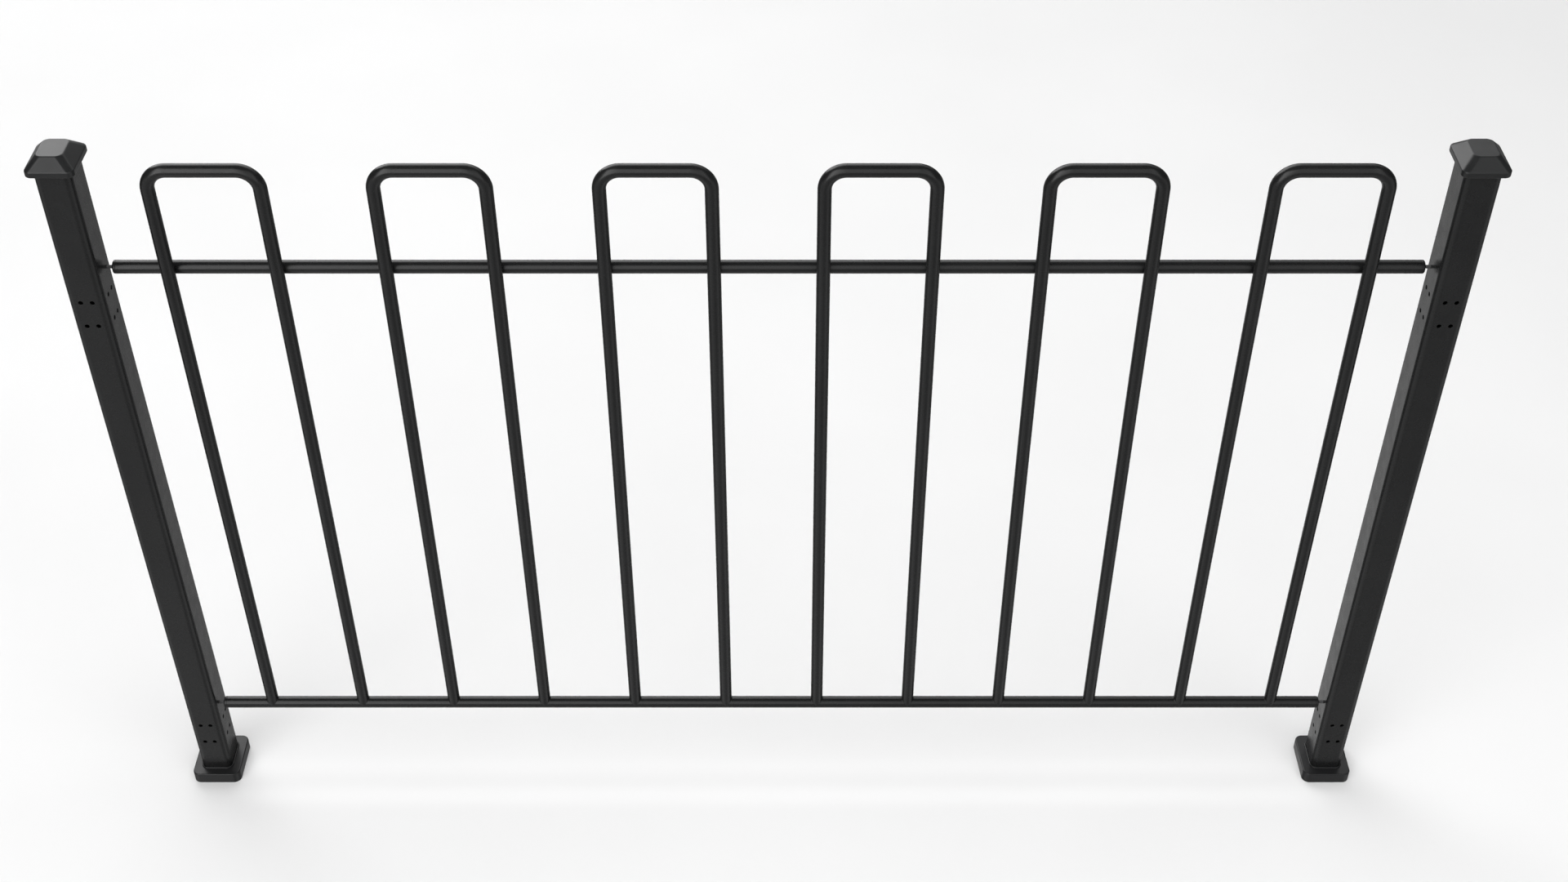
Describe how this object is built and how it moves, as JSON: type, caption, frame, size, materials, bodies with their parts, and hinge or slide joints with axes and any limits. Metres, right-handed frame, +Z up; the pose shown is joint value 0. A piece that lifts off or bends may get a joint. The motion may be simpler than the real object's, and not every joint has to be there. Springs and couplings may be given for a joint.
{
  "type": "pool fence panel with posts",
  "caption": "Loop-top pool fence bay: bent-tube loops welded to two round rails, between two capped rectangular posts with drilled bracket holes and sliding base covers.",
  "frame": {"origin": "on the floor, midway between the two posts, on the line through their centres", "axes": "+X along the fence to the right-hand post, +Y to the back, away from the side the loops are on, +Z up"},
  "size_m": [1.957, 0.088, 1.228],
  "materials": {
    "powder_coat": "satin black powder coat",
    "cap_plastic": "satin black moulded plastic",
    "cover_plastic": "satin black moulded plastic",
    "phosphated_steel": "matt grey phosphate coat"
  },
  "bodies": {
    "fence": {"left_post": "powder_coat", "left_post_cap": "cap_plastic", "left_base_plate": "powder_coat", "right_post": "powder_coat", "right_post_cap": "cap_plastic", "right_base_plate": "powder_coat", "upper_rail": "powder_coat", "lower_rail": "powder_coat", "loop_1": "powder_coat", "loop_2": "powder_coat", "loop_3": "powder_coat", "loop_4": "powder_coat", "loop_5": "powder_coat", "loop_6": "powder_coat", "upper_left_plug": "cap_plastic", "upper_left_stud": "phosphated_steel", "upper_left_nut": "phosphated_steel", "upper_right_plug": "cap_plastic", "upper_right_stud": "phosphated_steel", "upper_right_nut": "phosphated_steel", "lower_left_plug": "cap_plastic", "lower_left_stud": "phosphated_steel", "lower_left_nut": "phosphated_steel", "lower_right_plug": "cap_plastic", "lower_right_stud": "phosphated_steel", "lower_right_nut": "phosphated_steel"},
    "left_cover": {"left_base_cover": "cover_plastic"},
    "right_cover": {"right_base_cover": "cover_plastic"}
  },
  "joints": [
    {"name": "left_cover_slide", "type": "slide", "parent": "fence", "child": "left_cover", "axis": [0, 0, 1], "range_m": [0, 0.125]},
    {"name": "right_cover_slide", "type": "slide", "parent": "fence", "child": "right_cover", "axis": [0, 0, 1], "range_m": [0, 0.125]}
  ]
}
